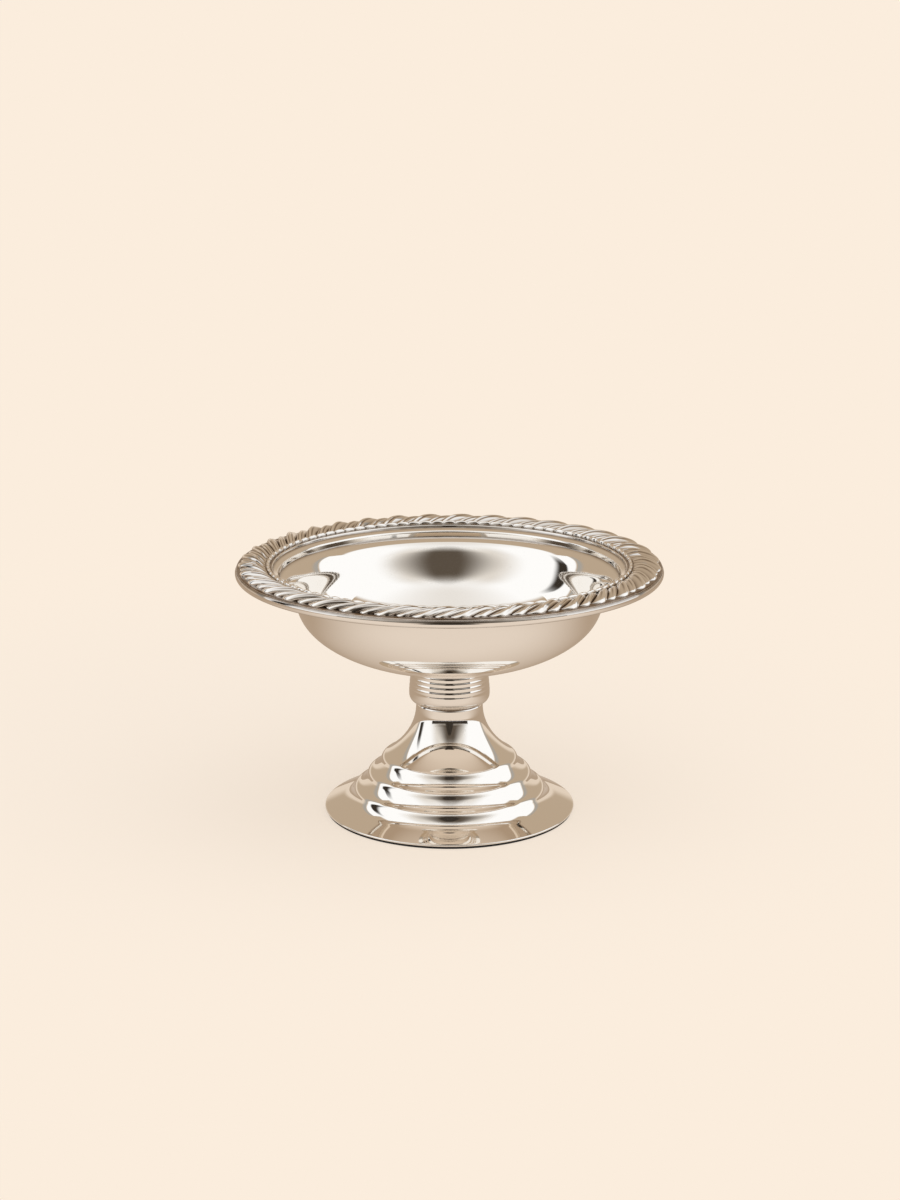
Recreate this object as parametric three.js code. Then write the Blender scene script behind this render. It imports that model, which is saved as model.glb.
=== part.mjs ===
// Footed bonbon dish in polished silver: a spun bowl with a gadroon border on a stepped, weighted foot.
// Millimetres, +Z up. The origin is the middle of the face that the dish stands on.
import * as THREE from 'three';

// Fits between pieces
const seatGap = 0.3;
const boreClearance = 0.4;
const threadClearance = 0.2;

// Felt pad, and the disc that closes the foot
const feltThickness = 0.8;
const feltInset = 0.5;
const discThickness = 0.6;

// Foot shell: one spun sheet, from the edge of its flange up to its flat crown
const footRadius = 45.2;
const footWall = 0.8;
const footEdgeLift = 0.05;
const footFlangeWidth = 10.4;
const footFlangeSlope = 19;
const footFlangeFillet = 1.2;
const stepCount = 3;
const stepRun = 5.05;
const stepRise = 5.7;
const stepBend = 1.8;
const stepSkirt = 1.8;
const trumpetStart = 62;
const trumpetLowerPull = 2.2;
const trumpetUpperPull = 9.0;
const neckRadius = 12.0;
const neckRise = 22.95;
const crownBend = 0.4;

// Plaster weight cast inside the foot
const fillerBore = 8.5;
const fillerHeadroom = 10.5;

// Rod, washer and nut that draw bowl, collar and foot together
const rodRadius = 3.0;
const rodTail = 2.0;
const rodEngagement = 5.0;
const rodChamfer = 0.5;
const washerThickness = 1.2;
const nutFlats = 10.0;
const nutHeight = 5.0;

// Reeded collar between foot and bowl
const collarOverhang = 2.5;
const collarRound = 3.0;
const collarBand = 1.8;
const collarLip = 0.9;
const collarTaper = 0.35;
const reedCount = 7;
const reedDepth = 0.25;

// Boss soldered under the bowl
const bossRadius = 8.0;
const bossDepth = 7.0;

// Bowl: one spun sheet, from the middle of its floor out to the edge of its flange
const bowlLift = 11.8;
const bowlWall = 0.9;
const wellRadius = 53.5;
const wellDrop = 24.1;
const wellSideLean = 20;
const wellEdgeRise = 6.7;
const shoulderSteps = 2;
const shoulderCove = 1.75;
const shoulderBend = 0.4;
const bowlFlangeWidth = 11.84;

// Wires and border on the flange
const wireOverhang = 0.5;
const wireRadius = 1.45;
const wireFlatAngle = 37.5;
const beadCount = 90;
const beadRadius = 0.7;
const beadSetback = 0.7;
const beadWaist = 0.6;
const borderInset = 0.3;
const borderEdgeHeight = 0.7;
const lobeCount = 72;
const lobeHeight = 2.6;
const lobeCrestSetback = 4.0;
const lobeValley = 0.5;
const lobeAlternation = 0.25;
const lobeTwist = 7;

// Facets
const shellFacets = 36;
const smallFacets = 24;
const columnsPerLobe = 3;
const columnsPerBead = 2;
const arcSteps = 2;
const trumpetSteps = 5;
const floorSteps = 8;
const wireSteps = 7;
const beadSteps = 3;
const samePoint = 1e-6;

const radians = THREE.MathUtils.degToRad;
const degrees = THREE.MathUtils.radToDeg;

// Sizes and levels that follow from the driving dimensions
const discTop = feltThickness + discThickness;
const footEdgeTop = feltThickness + footEdgeLift + footWall * Math.cos(radians(footFlangeSlope));
const stepRadius = footRadius - footFlangeWidth;
const stepRoll = stepBend + footWall;
const lowestStepLevel = footFlangeLevel(stepRadius) + stepSkirt;
const crownRoll = crownBend + footWall;
const crownTop = lowestStepLevel + (stepCount - 1) * stepRise + neckRise;
const crownHole = rodRadius + boreClearance;
const washerTop = crownTop - footWall;
const nutTop = washerTop - washerThickness;
const rodBottom = nutTop - nutHeight - rodTail;
const fillerTop = washerTop - fillerHeadroom;
const bowlBase = crownTop + bowlLift;
const wellCentre = bowlBase + bowlWall + wellDrop;
const shoulderRoll = shoulderBend + bowlWall;
const bossBottom = bowlBase - seatGap - bossDepth;
const collarBore = bossRadius + boreClearance;
const collarRadius = neckRadius + collarOverhang;
const collarTopRadius = collarRadius - reedDepth - collarTaper;

// Height of the foot's flange at a radius
function footFlangeLevel(radius) {
  return footEdgeTop + (footRadius - radius) * Math.tan(radians(footFlangeSlope));
}

// A point of a turned section: distance from the axis, and height
function at(radius, height) {
  return new THREE.Vector2(radius, height);
}

// A stretch of an ellipse in a turned section, between two angles in degrees
function arc(centre, radiusAcross, radiusUp, from, to, steps = arcSteps) {
  const start = radians(from);
  const end = radians(to);
  const curve = new THREE.EllipseCurve(centre.x, centre.y, radiusAcross, radiusUp, start, end, to < from);
  return curve.getPoints(steps);
}

function joinLines(...lines) {
  const points = lines.flat();
  return points.filter((point, i) => i === 0 || point.distanceTo(points[i - 1]) > samePoint);
}

function leftNormal(from, to) {
  return at(from.y - to.y, to.x - from.x).normalize();
}

// The line moved sideways, to the left of its direction of travel; a point on the axis stays on it
function offsetLine(points, distance) {
  const last = points.length - 1;
  return points.map((point, i) => {
    if (point.x < samePoint) {
      return at(0, point.y + distance);
    }
    const arriving = leftNormal(points[Math.max(i - 1, 0)], points[Math.max(i, 1)]);
    const leaving = leftNormal(points[Math.min(i, last - 1)], points[Math.min(i + 1, last)]);
    const mitre = arriving.clone().add(leaving).normalize();
    return point.clone().addScaledVector(mitre, distance / mitre.dot(arriving));
  });
}

// The point where a line that climbs passes a height
function pointAtHeight(points, height) {
  const i = points.findIndex((point) => point.y >= height);
  const share = (height - points[i - 1].y) / (points[i].y - points[i - 1].y);
  return points[i - 1].clone().lerp(points[i], share);
}

// The height of a line that runs outwards, at a radius
function heightAtRadius(points, radius) {
  const i = points.findIndex((point) => point.x >= radius);
  const share = (radius - points[i - 1].x) / (points[i].x - points[i - 1].x);
  return points[i - 1].y + share * (points[i].y - points[i - 1].y);
}

// A solid turned about +Z from a section that starts and ends on the axis
function turned(section, facets) {
  return new THREE.LatheGeometry(section, facets).rotateX(Math.PI / 2);
}

// A ring turned about +Z from the corners of a section that closes on itself
function turnedRing(section, facets) {
  return turned([...section, section[0].clone()], facets);
}

// Calls change(radius, angle, height, column) for each point of a turned ring and takes what it returns
function reshapeRing(geometry, pointsPerColumn, change) {
  const position = geometry.attributes.position;
  for (let i = 0; i < position.count; i += 1) {
    const x = position.getX(i);
    const y = position.getY(i);
    const column = Math.floor(i / pointsPerColumn);
    const next = change(Math.hypot(x, y), Math.atan2(y, x), position.getZ(i), column);
    position.setXYZ(i, next.radius * Math.cos(next.angle), next.radius * Math.sin(next.angle), next.height);
  }
  return geometry;
}

// The outside of the foot, from the edge of the flange up to the hole in the crown
function footLine() {
  const filletEnd = stepRadius + footFlangeFillet;
  const corner = footFlangeLevel(stepRadius);
  const fillet = new THREE.QuadraticBezierCurve(
    at(filletEnd, footFlangeLevel(filletEnd)),
    at(stepRadius, corner),
    at(stepRadius, corner + footFlangeFillet),
  );
  const lines = [[at(footRadius, footEdgeTop)], fillet.getPoints(arcSteps)];
  for (let i = 0; i < stepCount; i += 1) {
    const topStep = i === stepCount - 1;
    const rollCentre = at(stepRadius - i * stepRun - stepRoll, lowestStepLevel + i * stepRise);
    lines.push(arc(rollCentre, stepRoll, stepRoll, 0, topStep ? trumpetStart : 90));
    if (!topStep) {
      const coveCentre = at(rollCentre.x, rollCentre.y + stepRise);
      lines.push(arc(coveCentre, stepRun - stepRoll, stepRise - stepRoll, 270, 180));
    }
  }
  const flareStart = lines.at(-1).at(-1);
  const flareAngle = radians(trumpetStart);
  const flareDirection = at(-Math.sin(flareAngle), Math.cos(flareAngle));
  const neckStart = at(neckRadius, crownTop - crownRoll);
  const trumpet = new THREE.CubicBezierCurve(
    flareStart,
    flareStart.clone().addScaledVector(flareDirection, trumpetLowerPull),
    at(neckRadius, neckStart.y - trumpetUpperPull),
    neckStart,
  );
  lines.push(trumpet.getPoints(trumpetSteps));
  lines.push(arc(at(neckRadius - crownRoll, neckStart.y), crownRoll, crownRoll, 0, 90));
  lines.push([at(crownHole, crownTop)]);
  return joinLines(...lines);
}

// The inside of the bowl, from the middle of its floor out to the edge of its flange
function bowlLine() {
  const lean = radians(wellSideLean);
  const sideStart = Math.atan((Math.tan(lean) * wellDrop) / wellRadius);
  const floor = arc(at(0, wellCentre), wellRadius, wellDrop, -90, -degrees(sideStart), floorSteps);
  const sideFoot = floor.at(-1);
  const edgeCentreLevel = wellCentre + wellEdgeRise - shoulderRoll;
  const sideHeight = edgeCentreLevel + shoulderRoll * Math.sin(lean) - sideFoot.y;
  let radius = sideFoot.x + sideHeight * Math.tan(lean) + shoulderRoll * Math.cos(lean);
  let level = wellCentre + wellEdgeRise;
  const lines = [floor];
  lines.push(arc(at(radius, edgeCentreLevel), shoulderRoll, shoulderRoll, 180 - wellSideLean, 90));
  for (let i = 0; i < shoulderSteps; i += 1) {
    lines.push(arc(at(radius, level + shoulderCove), shoulderCove, shoulderCove, -90, 0));
    radius += shoulderCove + shoulderRoll;
    level += shoulderCove;
    lines.push(arc(at(radius, level), shoulderRoll, shoulderRoll, 180, 90));
    level += shoulderRoll;
  }
  lines.push([at(radius + bowlFlangeWidth, level)]);
  return joinLines(...lines);
}

const bowlInside = bowlLine();
const bowlOutside = offsetLine(bowlInside, -bowlWall);
const flangeEdgeRadius = bowlInside.at(-1).x;
const flangeTop = bowlInside.at(-1).y;
const flangeUnderside = flangeTop - bowlWall;
const flangeInnerRadius = flangeEdgeRadius - bowlFlangeWidth;
const footOutside = footLine();
const fillerLine = offsetLine(footOutside, footWall + seatGap);
const fillerBottomEdge = pointAtHeight(fillerLine, discTop);

function feltPadGeometry() {
  const radius = footRadius - feltInset;
  const section = [at(0, 0), at(radius, 0), at(radius, feltThickness), at(0, feltThickness)];
  return turned(section, shellFacets);
}

function baseDiscGeometry() {
  const radius = fillerBottomEdge.x;
  const section = [at(0, feltThickness), at(radius, feltThickness), at(radius, discTop), at(0, discTop)];
  return turned(section, shellFacets);
}

function weightFillerGeometry() {
  const topEdge = pointAtHeight(fillerLine, fillerTop);
  const outside = fillerLine.filter((point) => point.y > discTop && point.y < fillerTop);
  const section = joinLines(
    [at(fillerBore, discTop), fillerBottomEdge],
    outside,
    [topEdge, at(fillerBore, fillerTop)],
  );
  return turnedRing(section, shellFacets);
}

function footShellGeometry() {
  const inside = offsetLine(footOutside, footWall);
  return turnedRing([...footOutside, ...inside.reverse()], shellFacets);
}

function washerGeometry() {
  const outer = fillerBore - boreClearance;
  const section = [at(crownHole, nutTop), at(outer, nutTop), at(outer, washerTop), at(crownHole, washerTop)];
  return turnedRing(section, smallFacets);
}

function nutGeometry() {
  const cornerRadius = nutFlats / Math.sqrt(3);
  const outline = new THREE.Shape();
  for (let i = 0; i < 6; i += 1) {
    const angle = (i * Math.PI) / 3;
    const corner = at(cornerRadius * Math.cos(angle), cornerRadius * Math.sin(angle));
    if (i === 0) {
      outline.moveTo(corner.x, corner.y);
    } else {
      outline.lineTo(corner.x, corner.y);
    }
  }
  outline.closePath();
  outline.holes.push(new THREE.Path().absarc(0, 0, rodRadius + threadClearance, 0, 2 * Math.PI, true));
  const options = { depth: nutHeight, bevelEnabled: false, curveSegments: smallFacets };
  return new THREE.ExtrudeGeometry(outline, options).translate(0, 0, nutTop - nutHeight);
}

function tieRodGeometry() {
  const top = bossBottom + rodEngagement - seatGap;
  const tip = rodRadius - rodChamfer;
  const section = [
    at(0, rodBottom),
    at(tip, rodBottom),
    at(rodRadius, rodBottom + rodChamfer),
    at(rodRadius, top - rodChamfer),
    at(tip, top),
    at(0, top),
  ];
  return turned(section, smallFacets);
}

function bossGeometry() {
  const hole = rodRadius + threadClearance;
  const roof = bossBottom + rodEngagement;
  const section = [
    at(0, roof),
    at(hole, roof),
    at(hole, bossBottom),
    at(bossRadius, bossBottom),
    at(bossRadius, heightAtRadius(bowlOutside, bossRadius) - seatGap),
    at(0, bowlBase - seatGap),
  ];
  return turned(section, smallFacets);
}

function collarGeometry() {
  const roundTop = crownTop + collarRound;
  const bandTop = roundTop + collarBand;
  const lipTop = heightAtRadius(bowlOutside, collarTopRadius) - seatGap;
  const boreTop = heightAtRadius(bowlOutside, collarBore) - seatGap;
  const reedPitch = (lipTop - collarLip - bandTop) / reedCount;
  const round = arc(at(neckRadius, roundTop), collarOverhang, collarRound, -90, 0);
  const lines = [[at(collarBore, crownTop)], round, [at(collarRadius, bandTop)]];
  for (let i = 0; i < reedCount; i += 1) {
    const reedFoot = collarRadius - reedDepth - (collarTaper * i) / reedCount;
    const reedMiddle = at(reedFoot, bandTop + (i + 0.5) * reedPitch);
    lines.push(arc(reedMiddle, reedDepth, reedPitch / 2, -90, 90));
  }
  lines.push([at(collarTopRadius, lipTop - collarLip), at(collarTopRadius, lipTop), at(collarBore, boreTop)]);
  return turnedRing(joinLines(...lines), shellFacets);
}

function bowlGeometry() {
  return turned([...bowlOutside, ...bowlInside.toReversed()], shellFacets);
}

// A round wire with a flat along its top, soldered under the edge of the flange
function rimWireGeometry() {
  const outer = flangeEdgeRadius + wireOverhang;
  const centre = at(outer - wireRadius, flangeUnderside - wireRadius * Math.cos(radians(wireFlatAngle)));
  const section = arc(centre, wireRadius, wireRadius, 90 + wireFlatAngle - 360, 90 - wireFlatAngle, wireSteps);
  return turnedRing(section, shellFacets);
}

// Beads on the flange: a half-round section that narrows between one bead and the next
function beadWireGeometry() {
  const ringRadius = flangeInnerRadius + beadSetback;
  const section = arc(at(ringRadius, flangeTop), beadRadius, 2 * beadRadius, 0, 180, beadSteps);
  const geometry = turnedRing(section, beadCount * columnsPerBead);
  return reshapeRing(geometry, section.length + 1, (radius, angle, height, column) => {
    const share = column % columnsPerBead === 0 ? beadWaist : 1;
    return {
      radius: ringRadius + share * (radius - ringRadius),
      angle,
      height: flangeTop + share * (height - flangeTop),
    };
  });
}

// Slanted lobes, every second one lower, that lean clockwise on their way out
function gadroonBorderGeometry() {
  const inner = flangeInnerRadius + beadSetback + beadRadius + seatGap;
  const outer = flangeEdgeRadius - borderInset;
  const crest = at(inner + lobeCrestSetback, flangeTop + borderEdgeHeight);
  const rise = lobeHeight - borderEdgeHeight;
  const section = joinLines(
    [at(inner, flangeTop), at(outer, flangeTop)],
    arc(crest, outer - crest.x, rise, 0, 90),
    arc(crest, crest.x - inner, rise, 90, 180),
  );
  const geometry = turnedRing(section, lobeCount * columnsPerLobe);
  return reshapeRing(geometry, section.length + 1, (radius, angle, height, column) => {
    const lobe = Math.floor(column / columnsPerLobe);
    const crestShare = lobe % 2 === 0 ? 1 : 1 - lobeAlternation;
    const share = column % columnsPerLobe === 0 ? lobeValley : crestShare;
    const outward = (radius - inner) / (outer - inner);
    return {
      radius,
      angle: angle - radians(lobeTwist) * outward,
      height: flangeTop + share * (height - flangeTop),
    };
  });
}

function silver() {
  return new THREE.MeshStandardMaterial({ color: 0xd8d2c6, metalness: 1.0, roughness: 0.08 });
}

function brass() {
  return new THREE.MeshStandardMaterial({ color: 0xb8923e, metalness: 1.0, roughness: 0.35 });
}

function steel() {
  return new THREE.MeshStandardMaterial({ color: 0x8f9194, metalness: 1.0, roughness: 0.4 });
}

function plaster() {
  return new THREE.MeshStandardMaterial({ color: 0xd9d2c4, metalness: 0.0, roughness: 0.9 });
}

function felt() {
  return new THREE.MeshStandardMaterial({ color: 0x151413, metalness: 0.0, roughness: 1.0 });
}

function piece(name, geometry, material) {
  const mesh = new THREE.Mesh(geometry, material);
  mesh.name = name;
  return mesh;
}

const dish = new THREE.Group();
dish.add(piece('felt_pad', feltPadGeometry(), felt()));
dish.add(piece('base_disc', baseDiscGeometry(), steel()));
dish.add(piece('weight_filler', weightFillerGeometry(), plaster()));
dish.add(piece('foot_shell', footShellGeometry(), silver()));
dish.add(piece('clamp_washer', washerGeometry(), steel()));
dish.add(piece('clamp_nut', nutGeometry(), brass()));
dish.add(piece('tie_rod', tieRodGeometry(), brass()));
dish.add(piece('bowl_boss', bossGeometry(), brass()));
dish.add(piece('reeded_collar', collarGeometry(), silver()));
dish.add(piece('bowl', bowlGeometry(), silver()));
dish.add(piece('rim_wire', rimWireGeometry(), silver()));
dish.add(piece('bead_wire', beadWireGeometry(), silver()));
dish.add(piece('gadroon_border', gadroonBorderGeometry(), silver()));

export default dish;
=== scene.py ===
# Footed bonbon dish in polished silver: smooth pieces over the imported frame, in a white light tent.
# Metres and degrees, +Z up. The camera looks along +Y.
import math

import bmesh
import bpy
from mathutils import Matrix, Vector


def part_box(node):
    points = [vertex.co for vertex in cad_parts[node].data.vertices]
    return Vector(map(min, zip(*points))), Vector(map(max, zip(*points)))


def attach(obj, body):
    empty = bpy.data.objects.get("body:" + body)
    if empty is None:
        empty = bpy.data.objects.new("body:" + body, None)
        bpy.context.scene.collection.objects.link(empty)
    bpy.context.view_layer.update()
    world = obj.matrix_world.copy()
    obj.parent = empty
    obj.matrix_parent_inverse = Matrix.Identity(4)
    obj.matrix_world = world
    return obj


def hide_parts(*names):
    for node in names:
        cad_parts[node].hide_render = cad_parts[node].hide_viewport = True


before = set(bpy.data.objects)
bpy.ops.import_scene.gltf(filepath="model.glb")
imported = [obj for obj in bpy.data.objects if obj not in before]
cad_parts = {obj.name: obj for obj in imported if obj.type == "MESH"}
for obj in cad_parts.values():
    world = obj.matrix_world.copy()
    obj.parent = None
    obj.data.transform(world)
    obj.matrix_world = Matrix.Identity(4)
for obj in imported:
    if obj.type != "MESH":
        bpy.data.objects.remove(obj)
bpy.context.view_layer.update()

MM = 0.001

# Main sizes and levels, from the frame
FELT_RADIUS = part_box("felt_pad")[1].x
FELT_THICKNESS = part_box("felt_pad")[1].z
FOOT_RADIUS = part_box("foot_shell")[1].x
CROWN_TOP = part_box("foot_shell")[1].z
COLLAR_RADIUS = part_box("reeded_collar")[1].x
BOWL_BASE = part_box("bowl")[0].z
FLANGE_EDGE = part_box("bowl")[1].x
FLANGE_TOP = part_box("bowl")[1].z
WIRE_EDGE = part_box("rim_wire")[1].x
BEAD_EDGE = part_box("bead_wire")[1].x
BORDER_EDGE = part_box("gadroon_border")[1].x
BORDER_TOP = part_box("gadroon_border")[1].z

# Foot shell
FOOT_WALL = 0.8 * MM
FOOT_EDGE_LIFT = 0.05 * MM
FLANGE_WIDTH = 10.4 * MM
FLANGE_SLOPE_OUTER = 22
FLANGE_SLOPE_INNER = 16
FLANGE_FILLET = 3.2 * MM
STEP_COUNT = 3
STEP_RUN = 5.05 * MM
STEP_RISE = 5.7 * MM
STEP_ROLL = 2.6 * MM
STEP_SKIRT = 1.8 * MM
STEP_LEAN = 20
STEP_TOP = 70
STEP_RISER = 0.7 * MM
COVE_LOWER_PULL = 1.6 * MM
COVE_UPPER_PULL = 0.3 * MM
TRUMPET_START = 62
TRUMPET_LOWER_PULL = 2.2 * MM
TRUMPET_UPPER_PULL = 11.0 * MM
NECK_RADIUS = 12.0 * MM
CROWN_ROLL = 1.2 * MM
CROWN_HOLE = 3.4 * MM
SEAT_LEVEL = CROWN_TOP - 1.0 * MM

# Reeded collar
COLLAR_BORE = 8.4 * MM
COLLAR_ROUND = 3.0 * MM
COLLAR_BAND = 1.8 * MM
COLLAR_LIP = 1.6 * MM
COLLAR_TAPER = 0.6 * MM
REED_COUNT = 4
REED_DEPTH = 0.1 * MM
SEAT_GAP = 0.3 * MM

# Bowl: the well and its rounded lip
BOWL_WALL = 0.9 * MM
WELL_RADIUS = 53.5 * MM
WELL_DROP = 24.1 * MM
WELL_SIDE_START = 30
WELL_SIDE_END = 22
WELL_SIDE_LOWER_PULL = 4.0 * MM
WELL_SIDE_UPPER_PULL = 3.0 * MM
WELL_SIDE_RADIUS = 55.35 * MM
WELL_SIDE_DROP = 8.94 * MM
LIP_SLOPE = 28
LIP_PULL = 1.2 * MM
LIP_RADIUS = 57.9 * MM
LIP_DROP = 5.49 * MM

# Corners of the bowl's shoulder, from the lip to the flange: radius, drop below the flange, rounding
SHOULDER_CORNERS = (
    (60.45 * MM, 4.19 * MM, 0.5 * MM),
    (60.6 * MM, 1.94 * MM, 0.6 * MM),
    (62.6 * MM, 0.99 * MM, 0.3 * MM),
    (62.75 * MM, 0.0 * MM, 0.35 * MM),
)
SHOULDER_UNDER_ROUND = 0.4 * MM

# Wire under the rim, and beads inside the border
WIRE_RADIUS = 1.8 * MM
WIRE_DROP = 1.84 * MM
WIRE_LOWER = -60
WIRE_UPPER = 39
WIRE_INNER = 73.4 * MM
WIRE_GAP = 0.06 * MM
BEAD_COUNT = 90
BEAD_RADIUS = 0.7 * MM
BEAD_WAIST = 0.45
BEAD_COLUMNS = 10

# Gadroon border: pairs of a broad and a narrow lobe, broadest at the outer end and swept round inwards
LOBE_PAIRS = 36
LOBE_COLUMNS = 28
LOBE_ROWS = 36
LOBE_SWEEP = 10
LOBE_CREST = 0.45
LOBE_VALLEY = 0.10
LOBE_POWER = 0.8
LOBE_INNER_SHARE = 0.25
LOBE_SCALLOP = 2.0 * MM
LOBE_RIBS = 3
RIB_DEPTH = 0.30 * MM
BROAD_SHARE_INNER = 0.5
BROAD_SHARE_OUTER = 0.60
NARROW_HEIGHT = 0.76
NARROW_SETBACK = 0.7 * MM
BORDER_INSET = 0.2 * MM

# Fineness of the meshes
SEGMENTS = 288
ARC_STEP = 6
CURVE_STEPS = 12
LONGEST_STRETCH = 1.2 * MM
SAME_POINT = 1e-7
SHARP_EDGE = 45

# Tarnish and painted shade: how far they reach from a groove, and how strong they are on the beads and
# ribs
CREASE_REACH = 1.1 * MM
RIM_GROOVE_REACH = 1.1 * MM
FOOT_GROOVE_REACH = 1.0 * MM
COLLAR_GROOVE_REACH = 4.2 * MM
BEAD_SHADE_AND_TARNISH = 0.8
RIB_SHADE_AND_TARNISH = 1.1

# Silver: its colours, the tarnish and painted shade in its recesses and their patchiness, and its haze
SILVER = (0.92, 0.885, 0.835)
SILVER_TARNISH_AND_SHADE = (0.15, 0.088, 0.043)
DARKENING_SCALE = 350
DARKENING_DETAIL = 3
DARKENING_RANGE = (0.6, 1.2)
HAZE_SCALE = 90
HAZE_DETAIL = 4
SMOOTHEST = 0.02
ROUGHEST = 0.05
ROUGHEST_BOWL = 0.06

# Dull materials: their speckles and grain
GRAIN_DETAIL = 5
GRAIN_BUMP = 0.3
GRAIN_HEIGHT = 0.05 * MM
GRAIN_ROUGHNESS = 0.1
FELT = dict(
    light=(0.018, 0.016, 0.015), dark=(0.006, 0.006, 0.006),
    scale=2500, roughness=1.0, metallic=0,
)
BRASS = dict(
    light=(0.50, 0.33, 0.12), dark=(0.36, 0.22, 0.08),
    scale=400, roughness=0.4, metallic=1,
)
STEEL = dict(
    light=(0.36, 0.36, 0.37), dark=(0.24, 0.24, 0.25),
    scale=300, roughness=0.45, metallic=1,
)
PLASTER = dict(
    light=(0.72, 0.68, 0.60), dark=(0.58, 0.54, 0.46),
    scale=500, roughness=0.95, metallic=0,
)

# Floor: cream paper; glossy rays see on it a painted pool of light that darkens outwards into painted
# shade
CREAM = (0.965, 0.847, 0.723)
FLOOR_HALF = 60.0
FLOOR_SHADE = (-0.06, 0.07, 0)
FLOOR_SHADE_RADII = (0.05, 0.32)
FLOOR_GLOW = 0.65
FLOOR_PAINTED_LIGHT_SPOT = (0.03, -0.65, 0)
FLOOR_PAINTED_LIGHT_RADII = (0.535, 0.77)
MIRRORED_FLOOR_LIT = (0.82, 0.715, 0.62)
MIRRORED_FLOOR_SHADE = (0.47, 0.36, 0.265)

# Light tent, and the dim room outside it
TENT_RADIUS = 1.9
TENT_HEIGHT = 1.8
TENT_FOOT = 0.01
TENT_FOOT_SPAN = (-110, 114)
TENT_HEAD_SPAN = (-125, 130)
TENT_FEATHER = (0.012, 0.012, 0, 0)
TENT_FRAME = 10
TENT_WHITE = (0.98, 1.0, 1.03)
TENT_GLOW = 1.1
ROOF_HALF = 2.1
ROOM = (0.10, 0.085, 0.07)

# Colours of the cards that only mirrors show: painted reflections, glowing without lighting anything
BROWN = (0.52, 0.41, 0.30)
PALE_BROWN = (0.80, 0.68, 0.56)
FRAME_GREY = (0.42, 0.40, 0.37)
PALE_GREY = (0.80, 0.765, 0.72)
TABLE_GREY = (0.30, 0.27, 0.235)
SHADE = (0.87, 0.85, 0.83)
UMBER = (0.105, 0.083, 0.063)
DARK = (0.040, 0.032, 0.025)

# Feather: the shares of a card that fade out at its left, right, lower and upper edges
NO_FEATHER = (0, 0, 0, 0)
CARD_COLUMNS = 48
CARD_ROWS = 12

# Level cards below the roof of the tent, painted reflections of its shaded parts, and how far they hang
# from it
ROOF_CARDS = (
    dict(
        name="roof_shade", colour=SHADE, feather=(0.5, 0.5, 0.62, 0),
        across=(-1.2, 1.2), along=(-1.7, 0.63), hang=0.01,
    ),
    dict(
        name="back_roof_shade", colour=BROWN, feather=(0, 0, 0.155, 0),
        across=(-ROOF_HALF, ROOF_HALF), along=(0.36, ROOF_HALF), hang=0.02,
    ),
)

# Bent cards round the dish, painted reflections of the studio and its shaded parts: the azimuths, levels
# and radii of their lower and upper edges.
# Azimuth 0 is towards the camera, and positive ones are to its right.
BENT_CARDS = (
    dict(
        name="backdrop", colour=BROWN, feather=NO_FEATHER,
        foot=(90, 270), head=(90, 270), levels=(0, TENT_HEIGHT), radii=(2.0, 2.0),
    ),
    dict(
        name="pale_backdrop", colour=PALE_BROWN, feather=(0.1, 0.1, 0, 0.6),
        foot=(100, 260), head=(100, 260), levels=(0, 0.5), radii=(1.97, 1.97),
    ),
    dict(
        name="tent_frame_right", colour=FRAME_GREY, feather=(0, 0.8, 0, 0),
        foot=(TENT_FOOT_SPAN[1], TENT_FOOT_SPAN[1] + TENT_FRAME),
        head=(TENT_HEAD_SPAN[1], TENT_HEAD_SPAN[1] + TENT_FRAME),
        levels=(0, TENT_HEIGHT), radii=(1.95, 1.95),
    ),
    dict(
        name="tent_frame_left", colour=FRAME_GREY, feather=(0.8, 0, 0, 0),
        foot=(TENT_FOOT_SPAN[0] - TENT_FRAME, TENT_FOOT_SPAN[0]),
        head=(TENT_HEAD_SPAN[0] - TENT_FRAME, TENT_HEAD_SPAN[0]),
        levels=(0, TENT_HEIGHT), radii=(1.95, 1.95),
    ),
    dict(
        name="side_card", colour=DARK, feather=(0.15, 0.45, 0, 0.65),
        foot=(-106, -86), head=(-99, -93), levels=(0.06, 1.75), radii=(1.80, 1.80),
    ),
    dict(
        name="halo_card", colour=PALE_GREY, feather=(0.22, 0.22, 0, 0.5),
        foot=(-70, 68), head=(-54, 52), levels=(0.06, 1.76), radii=(1.78, 0.75),
    ),
    dict(
        name="camera_card", colour=UMBER, feather=(0.40, 0.40, 0.15, 0.53),
        foot=(-67, 75), head=(-5, 9), levels=(0.06, 1.70), radii=(1.74, 0.75),
    ),
    dict(
        name="table_card", colour=TABLE_GREY, feather=(0.45, 0.45, 0, 0.3),
        foot=(-52, 52), head=(-52, 52), levels=(0.03, 0.80), radii=(1.6, 1.6),
    ),
    dict(
        name="table_edge", colour=DARK, feather=(0.01, 0.01, 0, 0.3),
        foot=(-59, 62), head=(-59, 62), levels=(0.03, 0.21), radii=(1.5, 1.5),
    ),
    dict(
        name="core_card", colour=DARK, feather=(0.2, 0.2, 0, 0.2),
        foot=(-18, 18), head=(-3, 3), levels=(0.036, 0.15), radii=(0.20, 0.20),
    ),
)

# Camera, fitted to the ellipses of rim and foot in a 900 by 1200 picture
CAMERA_PLACE = (0.0002, -0.804, 0.2863)
CAMERA_PITCH = 14.55
CAMERA_LENS = 69.87


# Sections: lines of (radius, height) points

def point(radius, height):
    return Vector((radius, height))


def arc(centre, across, up, start, end):
    """Points on a stretch of an ellipse, between two angles."""
    sweep = abs(end - start)
    length = math.radians(sweep) * max(across, up)
    steps = math.ceil(max(sweep / ARC_STEP, length / LONGEST_STRETCH))
    angles = [math.radians(start + (end - start) * i / steps) for i in range(steps + 1)]
    return [point(centre.x + across * math.cos(a), centre.y + up * math.sin(a)) for a in angles]


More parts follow.
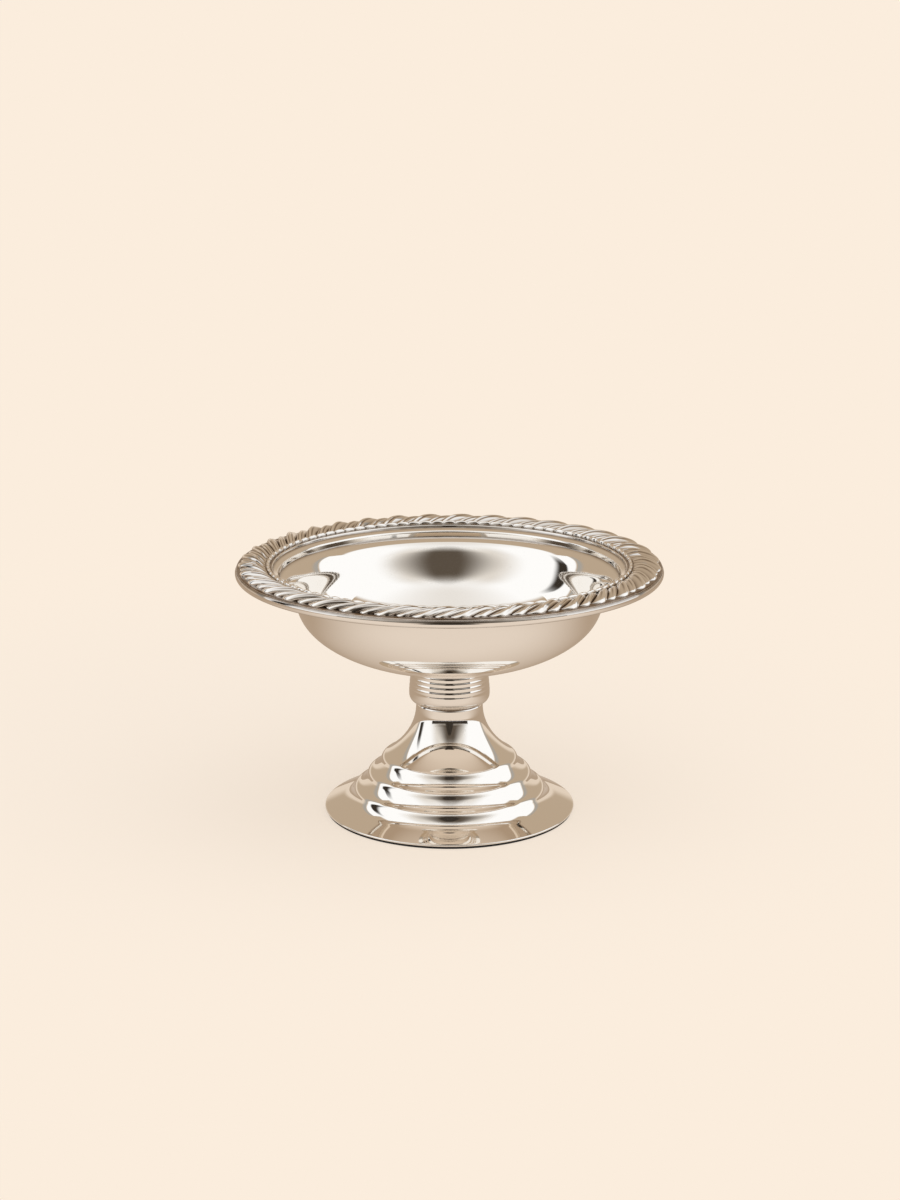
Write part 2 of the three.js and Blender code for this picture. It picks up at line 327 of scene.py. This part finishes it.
def bezier(*controls):
    """Points along a Bezier curve of any degree."""
    length = sum((b - a).length for a, b in zip(controls, controls[1:]))
    steps = max(CURVE_STEPS, math.ceil(length / LONGEST_STRETCH))
    points = []
    for i in range(steps + 1):
        level = controls
        while len(level) > 1:
            level = [a.lerp(b, i / steps) for a, b in zip(level, level[1:])]
        points.append(level[0])
    return points


def joined(*lines):
    """The lines end to end, with repeated points dropped and long stretches split."""
    points = []
    for p in (p for line in lines for p in line):
        if points and (p - points[-1]).length < SAME_POINT:
            continue
        if points:
            start = points[-1]
            parts = math.ceil((p - start).length / LONGEST_STRETCH)
            points.extend(start.lerp(p, i / parts) for i in range(1, parts))
        points.append(p)
    return points


def rounded(corners, cuts):
    """A line of corners, each inner one rounded off between points at its cut from it."""
    lines = [[corners[0]]]
    for before, corner, after, cut in zip(corners, corners[1:], corners[2:], cuts):
        start = corner + (before - corner).normalized() * cut
        end = corner + (after - corner).normalized() * cut
        lines.append(bezier(start, corner, end))
    lines.append([corners[-1]])
    return joined(*lines)


def left_normal(start, end):
    return point(start.y - end.y, end.x - start.x).normalized()


def offset(line, distance):
    """The line moved to the left of its direction of travel; a point on the axis stays on it."""
    moved = []
    last = len(line) - 1
    for i, p in enumerate(line):
        if p.x < SAME_POINT:
            moved.append(point(0, p.y + distance))
            continue
        arriving = left_normal(line[max(i - 1, 0)], line[max(i, 1)])
        leaving = left_normal(line[min(i, last - 1)], line[min(i + 1, last)])
        mitre = (arriving + leaving).normalized()
        moved.append(p + mitre * (distance / mitre.dot(arriving)))
    return moved


def height_at(line, radius):
    """Height of a line that runs outwards, at a radius."""
    i = next(i for i, p in enumerate(line) if p.x >= radius)
    share = (radius - line[i - 1].x) / (line[i].x - line[i - 1].x)
    return line[i - 1].y + share * (line[i].y - line[i - 1].y)


def foot_flange_level(radius):
    """Height of the foot's flange, which flattens inwards."""
    outer = math.tan(math.radians(FLANGE_SLOPE_OUTER))
    inner = math.tan(math.radians(FLANGE_SLOPE_INNER))
    inward = FOOT_RADIUS - radius
    edge_top = FELT_THICKNESS + FOOT_EDGE_LIFT + FOOT_WALL * math.cos(math.radians(FLANGE_SLOPE_OUTER))
    return edge_top + inward * outer + (inner - outer) * inward ** 2 / (2 * FLANGE_WIDTH)


def foot_section():
    """The spun foot: rounded edge, sloping flange, three rolled steps, trumpet and crown."""
    slope = math.radians(FLANGE_SLOPE_OUTER)
    bead = FOOT_WALL / 2
    edge_radius = FOOT_RADIUS - bead
    edge_centre = point(edge_radius, foot_flange_level(edge_radius) - bead / math.cos(slope))
    edge = arc(edge_centre, bead, bead, -90 - FLANGE_SLOPE_OUTER, 90 - FLANGE_SLOPE_OUTER)

    step_radius = FOOT_RADIUS - FLANGE_WIDTH
    lean = math.radians(STEP_LEAN)
    top = math.radians(STEP_TOP)
    outward = point(math.cos(lean), math.sin(lean))
    upward = point(-math.sin(lean), math.cos(lean))
    roll_centre = point(step_radius - STEP_ROLL, foot_flange_level(step_radius) + STEP_SKIRT)
    skirt_foot = step_radius + STEP_SKIRT * math.tan(lean)
    fillet_foot = skirt_foot + FLANGE_FILLET
    lines = [[edge[-1]]]
    for i in range(1, CURVE_STEPS):
        radius = edge[-1].x + (fillet_foot - edge[-1].x) * i / CURVE_STEPS
        lines.append([point(radius, foot_flange_level(radius))])
    lines.append(bezier(
        point(fillet_foot, foot_flange_level(fillet_foot)),
        point(skirt_foot, foot_flange_level(skirt_foot)),
        roll_centre + outward * STEP_ROLL,
    ))
    for _ in range(STEP_COUNT - 1):
        roll = arc(roll_centre, STEP_ROLL, STEP_ROLL, STEP_LEAN, STEP_TOP)
        roll_centre = roll_centre + point(-STEP_RUN, STEP_RISE)
        riser_foot = roll_centre + outward * STEP_ROLL - upward * STEP_RISER
        cove = bezier(
            roll[-1],
            roll[-1] + point(-math.sin(top), math.cos(top)) * COVE_LOWER_PULL,
            riser_foot - upward * COVE_UPPER_PULL,
            riser_foot,
        )
        lines.extend((roll, cove))
    lines.append(arc(roll_centre, STEP_ROLL, STEP_ROLL, STEP_LEAN, TRUMPET_START))

    flare = lines[-1][-1]
    flare_angle = math.radians(TRUMPET_START)
    neck = point(NECK_RADIUS, SEAT_LEVEL - CROWN_ROLL)
    lines.append(bezier(
        flare,
        flare + point(-math.sin(flare_angle), math.cos(flare_angle)) * TRUMPET_LOWER_PULL,
        neck - point(0, TRUMPET_UPPER_PULL),
        neck,
    ))
    lines.append(arc(neck - point(CROWN_ROLL, 0), CROWN_ROLL, CROWN_ROLL, 0, 90))
    lines.append([point(CROWN_HOLE, SEAT_LEVEL)])
    outside = joined(*lines)
    inside = offset(outside, FOOT_WALL)
    return joined(edge, outside, inside[::-1])


def well_line():
    """The inside of the well, from the middle of its floor up to its lip."""
    centre = point(0, BOWL_BASE + BOWL_WALL + WELL_DROP)
    start = math.radians(WELL_SIDE_START)
    end = math.radians(WELL_SIDE_END)
    floor_end = math.degrees(math.atan(math.tan(start) * WELL_DROP / WELL_RADIUS))
    floor = arc(centre, WELL_RADIUS, WELL_DROP, -90, -floor_end)
    floor[0].x = 0
    side_end = point(WELL_SIDE_RADIUS, FLANGE_TOP - WELL_SIDE_DROP)
    side = bezier(
        floor[-1],
        floor[-1] + point(math.sin(start), math.cos(start)) * WELL_SIDE_LOWER_PULL,
        side_end - point(math.sin(end), math.cos(end)) * WELL_SIDE_UPPER_PULL,
        side_end,
    )
    return joined(floor, side)


def lip_line():
    """The rounded lip of the well, from the end of its side to the foot of the shoulder."""
    lean = math.radians(WELL_SIDE_END)
    slope = math.radians(LIP_SLOPE)
    start = point(WELL_SIDE_RADIUS, FLANGE_TOP - WELL_SIDE_DROP)
    end = point(LIP_RADIUS, FLANGE_TOP - LIP_DROP)
    return bezier(
        start,
        start + point(math.sin(lean), math.cos(lean)) * LIP_PULL,
        end - point(math.cos(slope), math.sin(slope)) * LIP_PULL,
        end,
    )


def shoulder_corners():
    return [point(radius, FLANGE_TOP - drop) for radius, drop, _ in SHOULDER_CORNERS]


def bowl_section():
    """The spun bowl: a deep well, a stepped shoulder and a flat flange with a round edge."""
    inside = joined(well_line(), lip_line())
    outside = offset(inside, -BOWL_WALL)
    bead = BOWL_WALL / 2
    corners = [inside[-1], *shoulder_corners(), point(FLANGE_EDGE - bead, FLANGE_TOP)]
    shoulder = rounded(corners, [cut for _, _, cut in SHOULDER_CORNERS])
    under = rounded(offset(corners, -BOWL_WALL), [SHOULDER_UNDER_ROUND] * len(SHOULDER_CORNERS))
    edge = arc(corners[-1] - point(0, bead), bead, bead, 90, -90)
    return joined(inside, shoulder, edge, under[::-1], outside[::-1])


def collar_section():
    """The collar: a rounded foot, a plain band, and fine reeds up to the lip under the bowl."""
    underside = offset(well_line(), -BOWL_WALL)
    lip_radius = COLLAR_RADIUS - REED_DEPTH - COLLAR_TAPER
    round_top = SEAT_LEVEL + COLLAR_ROUND
    band_top = round_top + COLLAR_BAND
    lip_top = height_at(underside, lip_radius) - SEAT_GAP
    pitch = (lip_top - COLLAR_LIP - band_top) / REED_COUNT
    overhang = COLLAR_RADIUS - NECK_RADIUS
    lines = [[point(COLLAR_BORE, SEAT_LEVEL)]]
    lines.append(arc(point(NECK_RADIUS, round_top), overhang, COLLAR_ROUND, -90, 0))
    lines.append([point(COLLAR_RADIUS, band_top)])
    reed_radius = (pitch ** 2 / 4 + REED_DEPTH ** 2) / (2 * REED_DEPTH)
    reed_half = math.degrees(math.asin(pitch / 2 / reed_radius))
    tilt = math.degrees(math.atan(COLLAR_TAPER / (REED_COUNT * pitch)))
    for i in range(REED_COUNT):
        crest = COLLAR_RADIUS - COLLAR_TAPER * (i + 0.5) / REED_COUNT
        centre = point(crest - reed_radius, band_top + (i + 0.5) * pitch)
        lines.append(arc(centre, reed_radius, reed_radius, tilt - reed_half, tilt + reed_half))
    lines.append([point(lip_radius, lip_top - COLLAR_LIP), point(lip_radius, lip_top)])
    lines.append([point(COLLAR_BORE, height_at(underside, COLLAR_BORE) - SEAT_GAP)])
    lines.append([point(COLLAR_BORE, SEAT_LEVEL)])
    return joined(*lines)[:-1]


def wire_band():
    """The round face of the wire, from its lower to its upper edge."""
    centre = point(WIRE_EDGE - WIRE_RADIUS, FLANGE_TOP - WIRE_DROP)
    return arc(centre, WIRE_RADIUS, WIRE_RADIUS, WIRE_LOWER, WIRE_UPPER)


def wire_corners():
    """The wire's lower inner corner, and the corner of its wall and ledge at the edge of the flange."""
    lower = point(WIRE_INNER, wire_band()[0].y)
    wall_foot = point(FLANGE_EDGE + WIRE_GAP, FLANGE_TOP - BOWL_WALL - WIRE_GAP)
    return lower, wall_foot


def wire_section():
    """A half-round band round the edge of the bowl's flange, with a ledge under it."""
    band = wire_band()
    lower, wall_foot = wire_corners()
    wall_top = point(wall_foot.x, band[-1].y)
    ledge_end = point(WIRE_INNER, wall_foot.y)
    return joined([lower], band, [wall_top, wall_foot, ledge_end])


def felt_section():
    """A felt sole with soft edges."""
    soft = FELT_THICKNESS / 2
    edge = arc(point(FELT_RADIUS - soft, soft), soft, soft, -90, 90)
    return joined([point(0, 0)], edge, [point(0, FELT_THICKNESS)])


# Shade and tarnish: how deep a place lies in a groove, from 0 to 1, for the tarnish and painted shade
# there

def open_face(_):
    return 0.0


def near(places, reach):
    """Tarnish and painted shade of a section: 1 at the places, fading out at the reach from them."""
    def shade_and_tarnish(p):
        return max(0.0, 1 - min((p - place).length for place in places) / reach)
    return shade_and_tarnish


def bowl_shade_and_tarnish(p):
    """Tarnish and painted shade of the bowl: the creases of its shoulder, and full painted shade on the
    flange under the border.
    """
    if p.y > FLANGE_TOP - BOWL_WALL / 2 and p.x > BEAD_EDGE - 3 * BEAD_RADIUS:
        return 1.0
    return near(shoulder_corners()[::2], CREASE_REACH)(p)


# Meshes

def finished_piece(name, vertices, faces, shade_and_tarnish, cad_node, material):
    """A smooth-shaded piece that stands for a node of the frame."""
    mesh = bpy.data.meshes.new(name)
    mesh.from_pydata(vertices, [], faces)
    shell = bmesh.new()
    shell.from_mesh(mesh)
    bmesh.ops.recalc_face_normals(shell, faces=shell.faces)
    shell.to_mesh(mesh)
    shell.free()
    mesh.shade_smooth()
    mesh.set_sharp_from_angle(angle=math.radians(SHARP_EDGE))
    mesh.attributes.new("shade_and_tarnish", "FLOAT", "POINT").data.foreach_set("value", shade_and_tarnish)
    mesh.materials.append(material)
    piece = bpy.data.objects.new(name, mesh)
    bpy.context.collection.objects.link(piece)
    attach(piece, "root")
    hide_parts(cad_node)


def on_circle(radius, angle, height):
    return (radius * math.cos(angle), radius * math.sin(angle), height)


def ring_faces(rings, closed_section):
    """Faces between rings of vertex numbers; a ring of one vertex is a point on the axis."""
    pairs = list(zip(rings, rings[1:]))
    if closed_section:
        pairs.append((rings[-1], rings[0]))
    columns = max(len(ring) for ring in rings)
    faces = []
    for lower, upper in pairs:
        for j in range(columns):
            k = (j + 1) % columns
            corners = (
                lower[j % len(lower)],
                lower[k % len(lower)],
                upper[k % len(upper)],
                upper[j % len(upper)],
            )
            faces.append(tuple(dict.fromkeys(corners)))
    return faces


def turned(name, section, cad_node, material, shade_and_tarnish):
    """A piece turned about +Z, from a closed section or one with both ends on the axis."""
    vertices = []
    rings = []
    depths = []
    for p in section:
        count = 1 if p.x < SAME_POINT else SEGMENTS
        rings.append(range(len(vertices), len(vertices) + count))
        vertices.extend(on_circle(p.x, 2 * math.pi * j / SEGMENTS, p.y) for j in range(count))
        depths.extend([shade_and_tarnish(p)] * count)
    faces = ring_faces(rings, section[0].x > SAME_POINT)
    finished_piece(name, vertices, faces, depths, cad_node, material)


def half_round(share):
    """Height of a half circle over its width, at a share of the width."""
    return math.sqrt(max(0.0, 1 - (2 * share - 1) ** 2))


def rounded_shares(count):
    """Shares of a width that divide the half circle over it evenly, without the last one."""
    return [(1 - math.cos(math.pi * i / count)) / 2 for i in range(count)]


def bead_ring(material):
    """Oval beads in a row, pinched between one and the next."""
    centre = BEAD_EDGE - BEAD_RADIUS
    bead_height = 2 * BEAD_RADIUS
    columns = []
    for bead in range(BEAD_COUNT):
        for share in rounded_shares(BEAD_COLUMNS):
            columns.append((bead + share, BEAD_WAIST + (1 - BEAD_WAIST) * half_round(share)))
    vertices = []
    rings = []
    shade_and_tarnish = []
    for p in arc(point(0, 0), BEAD_RADIUS, bead_height, 0, 180):
        rings.append(range(len(vertices), len(vertices) + len(columns)))
        for turn, size in columns:
            angle = 2 * math.pi * turn / BEAD_COUNT
            vertices.append(on_circle(centre + size * p.x, angle, FLANGE_TOP + size * p.y))
            # Tarnish with painted shade: darker towards the foot of each bead and at the pinches between
            # beads
            shade_and_tarnish.append(BEAD_SHADE_AND_TARNISH * (1 - size * p.y / bead_height))
    faces = ring_faces(rings, True)
    finished_piece("bead_ring", vertices, faces, shade_and_tarnish, "bead_wire", material)


def lobe_rise(out):
    """Height of a lobe along its length, from its low inner end over the crest to its round outer end."""
    if out > LOBE_CREST:
        return math.sqrt(max(0.0, 1 - ((out - LOBE_CREST) / (1 - LOBE_CREST)) ** 2))
    climb = math.sin(math.pi / 2 * out / LOBE_CREST)
    return LOBE_INNER_SHARE + (1 - LOBE_INNER_SHARE) * climb


def lobe_angle(pair, narrow, share, out):
    """Where a lobe lies round the rim, at a share of its width and of its length."""
    broad = BROAD_SHARE_INNER + (BROAD_SHARE_OUTER - BROAD_SHARE_INNER) * out
    across = broad + share * (1 - broad) if narrow else share * broad
    return (pair + across) * 2 * math.pi / LOBE_PAIRS + math.radians(LOBE_SWEEP) * (1 - out)


def gadroon_border(material):
    """Slanted lobes, broad and narrow in turn, ribbed along, with scalloped outer ends."""
    inner = BEAD_EDGE + SEAT_GAP
    height = BORDER_TOP - FLANGE_TOP
    columns = []
    for pair in range(LOBE_PAIRS):
        for narrow in (False, True):
            columns.extend((pair, narrow, share) for share in rounded_shares(LOBE_COLUMNS))
    rows = [0.5 - 0.5 * math.cos(math.pi * i / LOBE_ROWS) for i in range(LOBE_ROWS + 1)]
    vertices = []
    rings = []
    shade_and_tarnish = []
    for out in rows:
        rings.append(range(len(vertices), len(vertices) + len(columns)))
        for pair, narrow, share in columns:
            bulge = math.sin(math.pi * share) ** LOBE_POWER
            end = BORDER_EDGE - BORDER_INSET - LOBE_SCALLOP * (1 - bulge)
            crest = height
            if narrow:
                end -= NARROW_SETBACK * bulge
                crest *= 1 - (1 - NARROW_HEIGHT) * bulge
            rib_wave = (1 + math.cos(2 * math.pi * LOBE_RIBS * share)) / 2
            groove = bulge * rib_wave ** 2 * (1 - out ** 4)
            profile = LOBE_VALLEY + (1 - LOBE_VALLEY) * bulge
            level = crest * lobe_rise(out) * profile - RIB_DEPTH * groove
            angle = lobe_angle(pair, narrow, share, out)
            vertices.append(on_circle(inner + (end - inner) * out, angle, FLANGE_TOP + level))
            # Tarnish with painted shade: darker in the valleys between lobes and in the grooves of the
            # ribs
            shade_and_tarnish.append(min(1.0, 1 - bulge + RIB_SHADE_AND_TARNISH * groove))
    rings.append(range(len(vertices), len(vertices) + len(columns)))
    for pair, narrow, share in columns:
        vertices.append(on_circle(inner, lobe_angle(pair, narrow, share, 0), FLANGE_TOP))
        # The inner edge against the beads: full painted shade with tarnish
        shade_and_tarnish.append(1.0)
    faces = ring_faces(rings, True)
    finished_piece("gadroon_ring", vertices, faces, shade_and_tarnish, "gadroon_border", material)


# Materials

def node(tree, kind, **settings):
    """A shader node; a setting is a property of the node, or one of its inputs by name."""
    made = tree.nodes.new(kind)
    for name, value in settings.items():
        if hasattr(made, name):
            setattr(made, name, value)
        else:
            made.inputs[name.replace("_", " ")].default_value = value
    return made


def principled(name):
    material = bpy.data.materials.new(name)
    material.use_nodes = True
    return material, material.node_tree, material.node_tree.nodes["Principled BSDF"]


def noise(tree, scale, detail):
    """Noise over the object's own coordinates."""
    place = node(tree, "ShaderNodeTexCoord")
    made = node(tree, "ShaderNodeTexNoise", Scale=scale, Detail=detail)
    tree.links.new(place.outputs["Object"], made.inputs["Vector"])
    return made.outputs["Fac"]


def ranged(tree, value, low, high):
    """The value, from 0 to 1, spread between low and high."""
    made = node(tree, "ShaderNodeMapRange", To_Min=low, To_Max=high)
    tree.links.new(value, made.inputs["Value"])
    return made.outputs["Result"]


def smooth_ramp(tree, value, start, end):
    """0 where the value is at start, rising softly to 1 where it is at end."""
    made = node(tree, "ShaderNodeMapRange", interpolation_type="SMOOTHSTEP")
    made.inputs["From Min"].default_value = start
    made.inputs["From Max"].default_value = end
    tree.links.new(value, made.inputs["Value"])
    return made.outputs["Result"]


def mixed_colour(tree, factor, first, second):
    made = node(tree, "ShaderNodeMix", data_type="RGBA")
    tree.links.new(factor, made.inputs["Factor"])
    made.inputs["A"].default_value = (*first, 1)
    made.inputs["B"].default_value = (*second, 1)
    return made.outputs["Result"]


def mixed_shader(tree, factor, first, second):
    made = node(tree, "ShaderNodeMixShader")
    tree.links.new(factor, made.inputs[0])
    tree.links.new(first, made.inputs[1])
    tree.links.new(second, made.inputs[2])
    return made.outputs[0]


def silver_material(name, roughest):
    """Polished silver: a thin uneven haze, and tarnish with painted shade darkening the recesses of the
    ornament.
    """
    material, tree, shader = principled(name)
    shader.inputs["Metallic"].default_value = 1
    shade_and_tarnish = node(tree, "ShaderNodeAttribute", attribute_name="shade_and_tarnish").outputs["Fac"]
    depth = node(tree, "ShaderNodeMath", operation="POWER")
    depth.inputs[1].default_value = 2
    tree.links.new(shade_and_tarnish, depth.inputs[0])
    darkening = node(tree, "ShaderNodeMath", operation="MULTIPLY")
    tree.links.new(depth.outputs[0], darkening.inputs[0])
    tree.links.new(ranged(tree, noise(tree, DARKENING_SCALE, DARKENING_DETAIL), *DARKENING_RANGE), darkening.inputs[1])
    colour = mixed_colour(tree, darkening.outputs[0], SILVER, SILVER_TARNISH_AND_SHADE)
    tree.links.new(colour, shader.inputs["Base Color"])
    haze = ranged(tree, noise(tree, HAZE_SCALE, HAZE_DETAIL), SMOOTHEST, roughest)
    tree.links.new(haze, shader.inputs["Roughness"])
    return material


def speckled_material(name, light, dark, scale, roughness, metallic):
    """A matt or dull material with fine speckles and a fine grain."""
    material, tree, shader = principled(name)
    shader.inputs["Metallic"].default_value = metallic
    grain = noise(tree, scale, GRAIN_DETAIL)
    tree.links.new(mixed_colour(tree, grain, light, dark), shader.inputs["Base Color"])
    haze = ranged(tree, grain, roughness - GRAIN_ROUGHNESS, roughness)
    tree.links.new(haze, shader.inputs["Roughness"])
    bump = node(tree, "ShaderNodeBump", Strength=GRAIN_BUMP, Distance=GRAIN_HEIGHT)
    tree.links.new(grain, bump.inputs["Height"])
    tree.links.new(bump.outputs["Normal"], shader.inputs["Normal"])
    return material


def distance_ramp(tree, centre, inner, outer):
    """0 within one distance of a place on the floor, rising softly to 1 at another."""
    away = node(tree, "ShaderNodeVectorMath", operation="DISTANCE")
    away.inputs[1].default_value = centre
    tree.links.new(node(tree, "ShaderNodeTexCoord").outputs["Object"], away.inputs[0])
    return smooth_ramp(tree, away.outputs["Value"], inner, outer)


def floor_material():
    """Pale paper with the dish's shadow on it; the silver mirrors instead a painted pool of light,
    darkening outwards into painted shade.
    """
    material, tree, shader = principled("cream_paper")
    shader.inputs["Base Color"].default_value = (*CREAM, 1)
    shader.inputs["Roughness"].default_value = 1
    shader.inputs["Specular IOR Level"].default_value = 0
    path = node(tree, "ShaderNodeLightPath")
    glow = node(tree, "ShaderNodeEmission", Color=(*CREAM, 1)).outputs[0]
    share = ranged(tree, distance_ramp(tree, FLOOR_SHADE, *FLOOR_SHADE_RADII), FLOOR_GLOW, 1)
    direct = mixed_shader(tree, share, shader.outputs[0], glow)
    # Painted reflection of the floor: a pool of light that darkens outwards
    painted_floor_reflection = node(tree, "ShaderNodeEmission")
    outward = distance_ramp(tree, FLOOR_PAINTED_LIGHT_SPOT, *FLOOR_PAINTED_LIGHT_RADII)
    tree.links.new(mixed_colour(tree, outward, MIRRORED_FLOOR_LIT, MIRRORED_FLOOR_SHADE), painted_floor_reflection.inputs["Color"])
    indirect = mixed_shader(tree, path.outputs["Is Glossy Ray"], shader.outputs[0], painted_floor_reflection.outputs[0])
    surface = mixed_shader(tree, path.outputs["Is Camera Ray"], indirect, direct)
    tree.links.new(surface, tree.nodes["Material Output"].inputs["Surface"])
    return material


def card_material(name, colour, strength, feather):
    """A glowing card that fades out at its edges; besides the tent's lighting cloth, it makes the painted
    reflections.
    """
    material = bpy.data.materials.new(name)
    material.use_nodes = True
    tree = material.node_tree
    tree.nodes.remove(tree.nodes["Principled BSDF"])
    surface = node(tree, "ShaderNodeEmission", Color=(*colour, 1), Strength=strength).outputs[0]
    split = node(tree, "ShaderNodeSeparateXYZ")
    tree.links.new(node(tree, "ShaderNodeTexCoord").outputs["UV"], split.inputs[0])
    edges = (("X", 0, 1), ("X", 1, -1), ("Y", 0, 1), ("Y", 1, -1))
    for (axis, edge, inward), width in zip(edges, feather):
        if width == 0:
            continue
        fade = smooth_ramp(tree, split.outputs[axis], edge, edge + inward * width)
        clear = node(tree, "ShaderNodeBsdfTransparent").outputs[0]
        surface = mixed_shader(tree, fade, clear, surface)
    tree.links.new(surface, tree.nodes["Material Output"].inputs["Surface"])
    return material


# Stage

def stage_mesh(name, vertices, faces, material):
    mesh = bpy.data.meshes.new(name)
    mesh.from_pydata(vertices, [], faces)
    mesh.materials.append(material)
    thing = bpy.data.objects.new(name, mesh)
    bpy.context.collection.objects.link(thing)
    return thing


def card_mesh(name, vertices, faces, shares, material):
    """A card that the camera doesn't see, with the shares across and up it as its UV map."""
    card = stage_mesh(name, vertices, faces, material)
    layer = card.data.uv_layers.new(name="shares")
    for loop in card.data.loops:
        layer.data[loop.index].uv = shares[loop.vertex_index]
    card.visible_camera = False
    return card


def bent_card(name, foot, head, levels, radii, material):
    """A card bent round the dish, between the azimuths, level and radius of its foot and of its head."""
    vertices = []
    shares = []
    for i in range(CARD_COLUMNS + 1):
        for k in range(CARD_ROWS + 1):
            across = i / CARD_COLUMNS
            up = k / CARD_ROWS
            left = foot[0] + (head[0] - foot[0]) * up
            right = foot[1] + (head[1] - foot[1]) * up
            azimuth = math.radians(left + (right - left) * across)
            radius = radii[0] + (radii[1] - radii[0]) * up
            height = levels[0] + (levels[1] - levels[0]) * up
            vertices.append((radius * math.sin(azimuth), -radius * math.cos(azimuth), height))
            shares.append((across, up))
    faces = []
    for i in range(CARD_COLUMNS):
        for k in range(CARD_ROWS):
            corner = i * (CARD_ROWS + 1) + k
            faces.append((corner, corner + CARD_ROWS + 1, corner + CARD_ROWS + 2, corner + 1))
    return card_mesh(name, vertices, faces, shares, material)


def level_card(name, across, along, height, material):
    """A level card above the dish."""
    corners = [(x, y, height) for y in along for x in across]
    shares = [(0, 0), (1, 0), (0, 1), (1, 1)]
    return card_mesh(name, corners, [(0, 1, 3, 2)], shares, material)


def mirrored_only(card):
    """Shows the card in mirrors alone, as a painted reflection: it neither lights nor shades anything."""
    card.visible_diffuse = False
    card.visible_shadow = False


# Pieces
silver = silver_material("polished_silver", ROUGHEST)
silver_bowl = silver_material("silver_bowl", ROUGHEST_BOWL)
felt = speckled_material("black_felt", **FELT)
brass = speckled_material("brass", **BRASS)
steel = speckled_material("steel", **STEEL)
plaster = speckled_material("plaster", **PLASTER)

neck_groove = [point(NECK_RADIUS, SEAT_LEVEL)]
# Tarnish with painted shade in the neck groove; on the collar the painted shade reaches far up its
# rounded foot
foot_shade_and_tarnish = near(neck_groove, FOOT_GROOVE_REACH)
collar_shade_and_tarnish = near(neck_groove, COLLAR_GROOVE_REACH)
# Tarnish with painted shade at the wire's inner corners and along its lower edge
wire_shade_and_tarnish = near([*wire_corners(), wire_band()[0]], RIM_GROOVE_REACH)
turned("felt_sole", felt_section(), "felt_pad", felt, open_face)
turned("stepped_foot", foot_section(), "foot_shell", silver, foot_shade_and_tarnish)
turned("collar_reeds", collar_section(), "reeded_collar", silver, collar_shade_and_tarnish)
turned("spun_bowl", bowl_section(), "bowl", silver_bowl, bowl_shade_and_tarnish)
turned("rim_roll", wire_section(), "rim_wire", silver, wire_shade_and_tarnish)
bead_ring(silver)
gadroon_border(silver)

inner_materials = {
    "base_disc": steel,
    "weight_filler": plaster,
    "clamp_washer": steel,
    "clamp_nut": brass,
    "tie_rod": brass,
    "bowl_boss": brass,
}
for name, material in inner_materials.items():
    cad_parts[name].material_slots[0].material = material

# Floor, tent and cards
floor_corners = [(x * FLOOR_HALF, y * FLOOR_HALF, 0) for x, y in ((-1, -1), (1, -1), (1, 1), (-1, 1))]
stage_mesh("floor", floor_corners, [(0, 1, 2, 3)], floor_material())

tent_cloth = card_material("tent_cloth", TENT_WHITE, TENT_GLOW, TENT_FEATHER)
tent_levels = (TENT_FOOT, TENT_HEIGHT)
tent_radii = (TENT_RADIUS, TENT_RADIUS)
bent_card("tent_wall", TENT_FOOT_SPAN, TENT_HEAD_SPAN, tent_levels, tent_radii, tent_cloth)
roof_cloth = card_material("roof_cloth", TENT_WHITE, TENT_GLOW, NO_FEATHER)
level_card("tent_roof", (-ROOF_HALF, ROOF_HALF), (-ROOF_HALF, ROOF_HALF), TENT_HEIGHT, roof_cloth)

# Painted reflections: cards that glow in mirrors only, for the studio and its shaded parts
for card in ROOF_CARDS:
    paper = card_material(card["name"], card["colour"], 1.0, card["feather"])
    level = TENT_HEIGHT - card["hang"]
    mirrored_only(level_card(card["name"], card["across"], card["along"], level, paper))
for card in BENT_CARDS:
    paper = card_material(card["name"], card["colour"], 1.0, card["feather"])
    edges = (card["foot"], card["head"], card["levels"], card["radii"])
    mirrored_only(bent_card(card["name"], *edges, paper))

# Background: cream to the camera, and the dim room to everything else
world = bpy.data.worlds.new("studio")
world.use_nodes = True
bpy.context.scene.world = world
tree = world.node_tree
room = tree.nodes["Background"]
room.inputs["Color"].default_value = (*ROOM, 1)
pale = node(tree, "ShaderNodeBackground", Color=(*CREAM, 1), Strength=1.0)
path = node(tree, "ShaderNodeLightPath")
backdrop = mixed_shader(tree, path.outputs["Is Camera Ray"], room.outputs[0], pale.outputs[0])
tree.links.new(backdrop, tree.nodes["World Output"].inputs["Surface"])

camera = bpy.data.objects.new("camera", bpy.data.cameras.new("camera"))
camera.data.lens = CAMERA_LENS
camera.location = CAMERA_PLACE
camera.rotation_euler = (math.radians(90 - CAMERA_PITCH), 0, 0)
bpy.context.collection.objects.link(camera)
bpy.context.scene.camera = camera
bpy.context.scene.view_settings.view_transform = "Standard"
